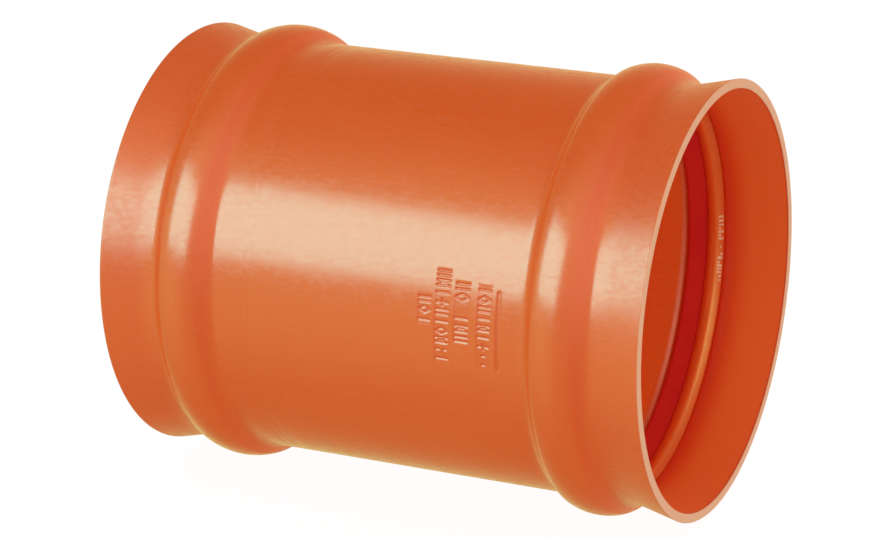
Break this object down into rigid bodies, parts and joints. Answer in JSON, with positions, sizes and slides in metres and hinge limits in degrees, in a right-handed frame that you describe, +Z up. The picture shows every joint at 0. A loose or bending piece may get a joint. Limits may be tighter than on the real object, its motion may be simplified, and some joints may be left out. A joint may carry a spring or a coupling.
{
  "type": "pipe coupling",
  "caption": "Slip coupling for sewer pipe: a plain orange tube with a flared mouth and a ring-shaped bead at each end, each bead holding a lip seal and its stiff retaining ring.",
  "frame": {"origin": "centre of the coupling, on the bore's axis, halfway between the two rims", "axes": "+X along the bore's axis towards the mouth that faces the viewer in the picture, +Z up with the coupling lying on its side, +Y away from the viewer across the tube"},
  "size_m": [0.23, 0.1812, 0.1812],
  "materials": {
    "tube_pvc": "satin extruded PVC with fine lines along its length",
    "seal_rubber": "matte moulded rubber",
    "ring_plastic": "smooth moulded polypropylene"
  },
  "bodies": {
    "root": {"coupling_body": "tube_pvc", "seal_right": "seal_rubber", "seal_left": "seal_rubber", "retaining_ring_right": "ring_plastic", "retaining_ring_left": "ring_plastic"}
  },
  "joints": []
}
